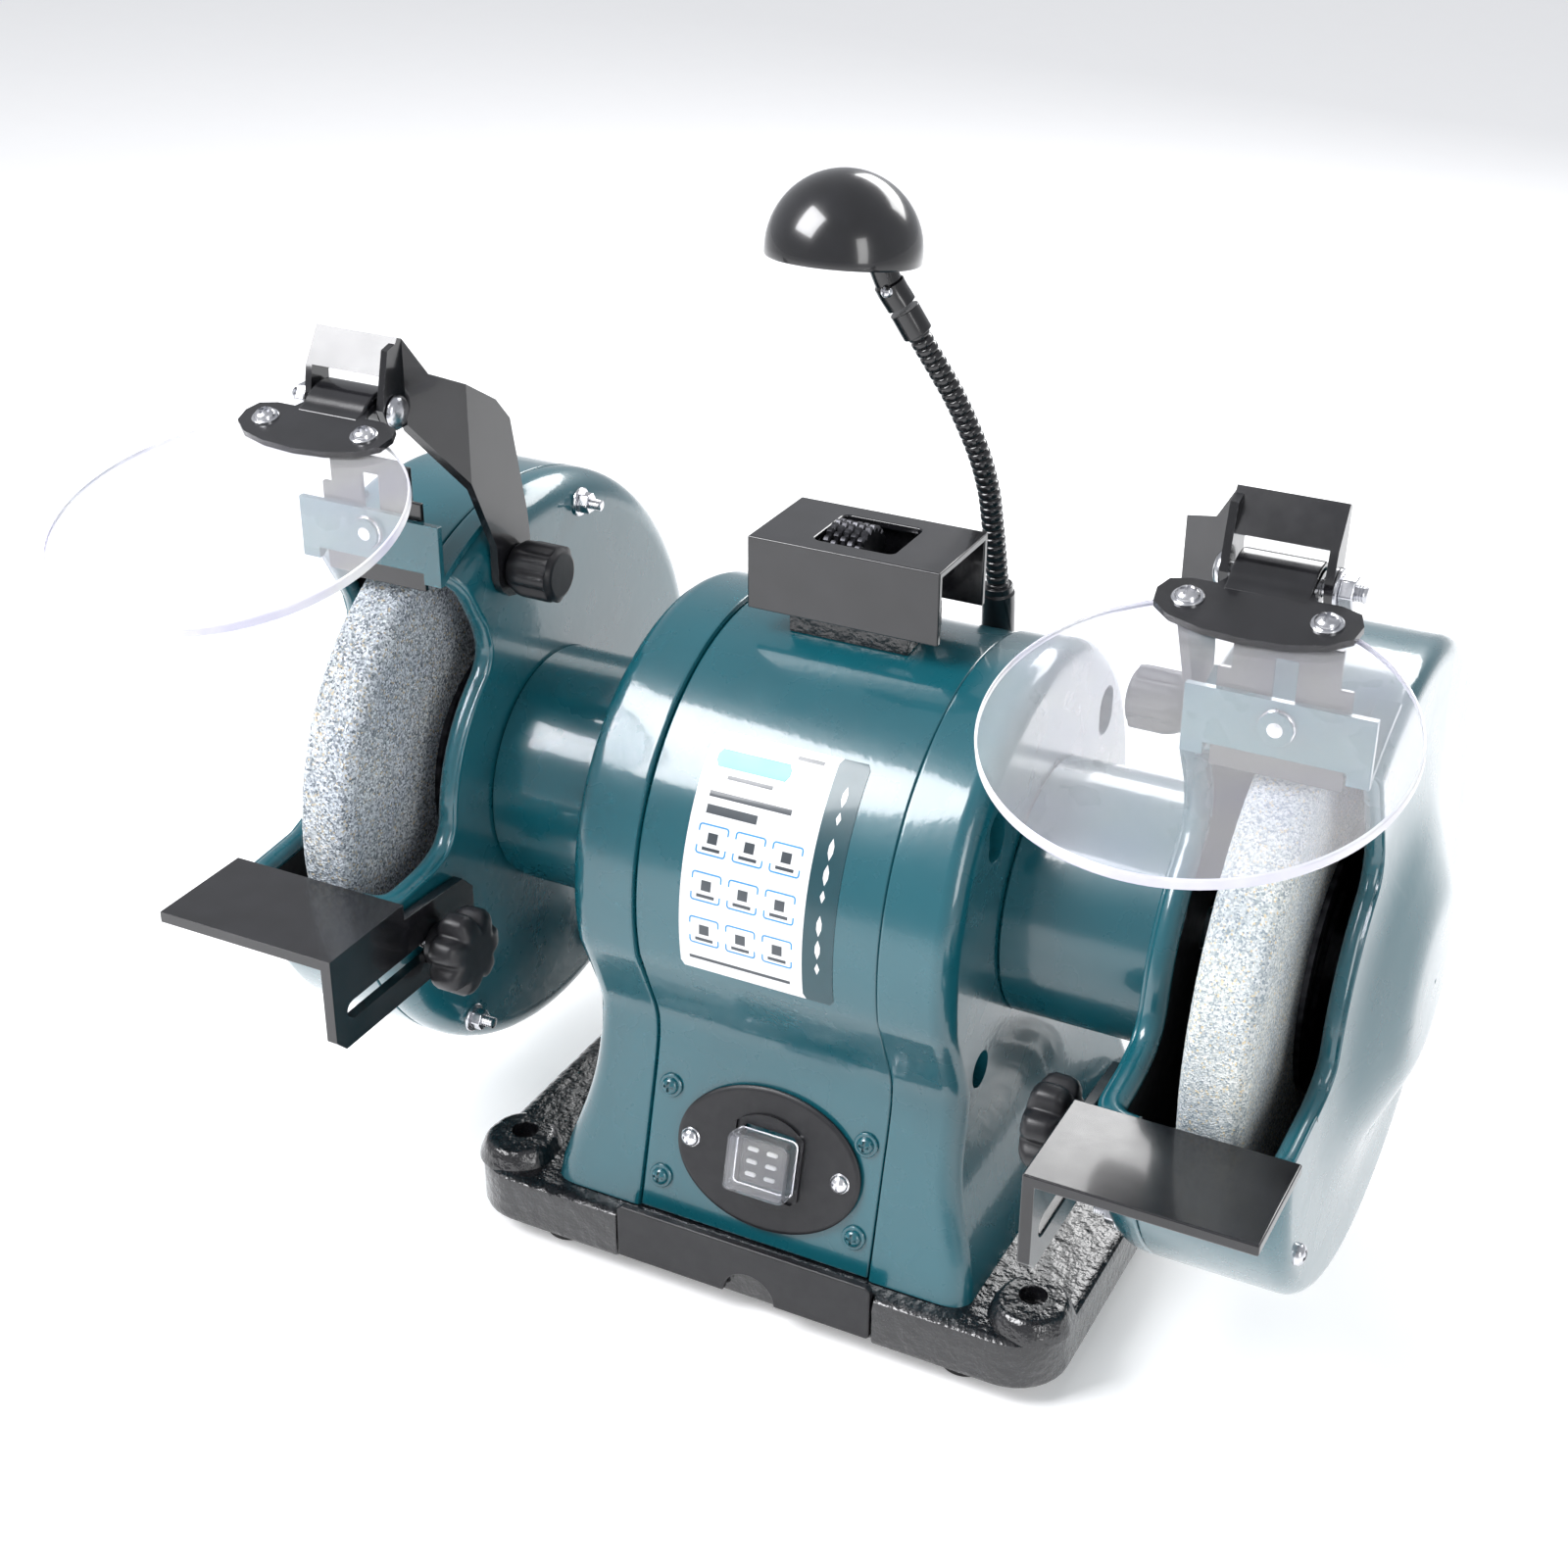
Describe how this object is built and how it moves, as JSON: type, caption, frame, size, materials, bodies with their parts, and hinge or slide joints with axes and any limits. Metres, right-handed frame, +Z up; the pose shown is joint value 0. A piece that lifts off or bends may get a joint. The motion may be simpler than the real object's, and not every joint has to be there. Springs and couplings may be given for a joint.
{
  "type": "bench grinder",
  "caption": "Bench grinder with guarded wheels on one spindle, tool rests, tilting eye shields, spark arrestors, a wheel dresser and a lamp on a flexible arm.",
  "frame": {"origin": "on the floor below the middle of the motor", "axes": "X along the spindle with the user's right positive, -Y towards the user, +Z up"},
  "size_m": [0.429, 0.3012, 0.3818],
  "materials": {
    "teal_paint": "gloss paint",
    "cast_black": "textured black paint",
    "satin_black": "satin black paint",
    "gloss_black": "gloss black paint",
    "black_plastic": "moulded",
    "rubber": "moulded",
    "bright_steel": "zinc plated",
    "dark_steel": "blackened",
    "copper": "lacquered wire",
    "coarse_grit": "open abrasive grain",
    "fine_grit": "fine abrasive grain",
    "clear_plastic": "clear",
    "lamp_white": "frosted"
  },
  "bodies": {
    "frame": {"stator_housing": "teal_paint", "left_end_bell": "teal_paint", "left_spindle_tube": "teal_paint", "left_guard_casting": "teal_paint", "left_guard_cover": "teal_paint", "left_spark_bridge": "teal_paint", "right_end_bell": "teal_paint", "right_spindle_tube": "teal_paint", "right_guard_casting": "teal_paint", "right_guard_cover": "teal_paint", "right_spark_bridge": "teal_paint", "base_casting": "cast_black", "dresser_block": "cast_black", "dresser_bracket": "satin_black", "lamp_neck_lower": "satin_black", "base_cover": "black_plastic", "cord_inlet": "black_plastic", "switch_bezel": "black_plastic", "foot_back_right": "rubber", "foot_back_left": "rubber", "foot_front_left": "rubber", "foot_front_right": "rubber", "dresser_pin": "bright_steel", "left_bearing": "bright_steel", "right_bearing": "bright_steel", "stator_core": "dark_steel", "stator_winding": "copper", "switch_cover": "clear_plastic"},
    "spindle": {"rotor_core": "dark_steel", "spindle_shaft": "bright_steel", "left_wheel": "coarse_grit", "left_inner_flange": "dark_steel", "left_outer_flange": "dark_steel", "left_spindle_nut": "bright_steel", "right_wheel": "fine_grit", "right_inner_flange": "dark_steel", "right_outer_flange": "dark_steel", "right_spindle_nut": "bright_steel"},
    "rocker": {"switch_rocker": "black_plastic"},
    "dresser_roll": {"dresser_cutters": "dark_steel"},
    "lamp_arm": {"lamp_neck_upper": "satin_black"},
    "lamp_head": {"lamp_stem": "satin_black", "lamp_shade": "gloss_black", "lamp_bulb": "lamp_white"},
    "left_rest": {"left_tool_rest": "satin_black"},
    "left_rest_handle": {"left_rest_knob": "black_plastic"},
    "left_spark_guard": {"left_spark_arrestor": "satin_black"},
    "left_shield_mount": {"left_shield_arm": "satin_black", "left_hinge_bolt": "bright_steel"},
    "left_arm_handle": {"left_arm_knob": "black_plastic"},
    "left_shield": {"left_shield_clamp": "satin_black", "left_eye_shield": "clear_plastic"},
    "right_rest": {"right_tool_rest": "satin_black"},
    "right_rest_handle": {"right_rest_knob": "black_plastic"},
    "right_spark_guard": {"right_spark_arrestor": "satin_black"},
    "right_shield_mount": {"right_shield_arm": "satin_black", "right_hinge_bolt": "bright_steel"},
    "right_arm_handle": {"right_arm_knob": "black_plastic"},
    "right_shield": {"right_shield_clamp": "satin_black", "right_eye_shield": "clear_plastic"}
  },
  "joints": [
    {"name": "spindle_spin", "type": "hinge", "parent": "frame", "child": "spindle", "pos_m": [0, 0, 0.15], "axis": [1, 0, 0], "continuous": true},
    {"name": "switch_rock", "type": "hinge", "parent": "frame", "child": "rocker", "pos_m": [0.003, -0.07843, 0.06061], "axis": [1, 0, 0], "range_deg": [-5, 5]},
    {"name": "dresser_spin", "type": "hinge", "parent": "frame", "child": "dresser_roll", "pos_m": [0, 0, 0.256], "axis": [1, 0, 0], "continuous": true},
    {"name": "lamp_flex", "type": "hinge", "parent": "frame", "child": "lamp_arm", "pos_m": [0.02422, 0.04055, 0.27917], "axis": [0, 1, 0], "range_deg": [-14, 14]},
    {"name": "lamp_head_tilt", "type": "hinge", "parent": "lamp_arm", "child": "lamp_head", "pos_m": [-0.0014, 0.02474, 0.33772], "axis": [1, 0, 0], "range_deg": [-18, 18]},
    {"name": "left_rest_slide", "type": "slide", "parent": "frame", "child": "left_rest", "axis": [0, 1, 0], "range_m": [-0.013, 0.005]},
    {"name": "left_rest_knob_turn", "type": "hinge", "parent": "frame", "child": "left_rest_handle", "pos_m": [-0.11, -0.092, 0.121], "axis": [1, 0, 0], "range_deg": [0, 360]},
    {"name": "left_spark_slide", "type": "slide", "parent": "frame", "child": "left_spark_guard", "axis": [0, 0, 1], "range_m": [-0.005, 0.004]},
    {"name": "left_shield_swing", "type": "hinge", "parent": "frame", "child": "left_shield_mount", "pos_m": [-0.125, -0.026, 0.24], "axis": [1, 0, 0], "range_deg": [-45, 8]},
    {"name": "left_arm_knob_turn", "type": "hinge", "parent": "frame", "child": "left_arm_handle", "pos_m": [-0.112, -0.026, 0.24], "axis": [1, 0, 0], "range_deg": [0, 360]},
    {"name": "left_shield_tilt", "type": "hinge", "parent": "left_shield_mount", "child": "left_shield", "pos_m": [-0.157, -0.066, 0.306], "axis": [1, 0, 0], "range_deg": [-45, 12]},
    {"name": "right_rest_slide", "type": "slide", "parent": "frame", "child": "right_rest", "axis": [0, 1, 0], "range_m": [-0.013, 0.005]},
    {"name": "right_rest_knob_turn", "type": "hinge", "parent": "frame", "child": "right_rest_handle", "pos_m": [0.11, -0.092, 0.121], "axis": [1, 0, 0], "range_deg": [0, 360]},
    {"name": "right_spark_slide", "type": "slide", "parent": "frame", "child": "right_spark_guard", "axis": [0, 0, 1], "range_m": [-0.005, 0.004]},
    {"name": "right_shield_swing", "type": "hinge", "parent": "frame", "child": "right_shield_mount", "pos_m": [0.125, -0.026, 0.24], "axis": [1, 0, 0], "range_deg": [-45, 8]},
    {"name": "right_arm_knob_turn", "type": "hinge", "parent": "frame", "child": "right_arm_handle", "pos_m": [0.112, -0.026, 0.24], "axis": [1, 0, 0], "range_deg": [0, 360]},
    {"name": "right_shield_tilt", "type": "hinge", "parent": "right_shield_mount", "child": "right_shield", "pos_m": [0.157, -0.066, 0.306], "axis": [1, 0, 0], "range_deg": [-45, 12]}
  ]
}
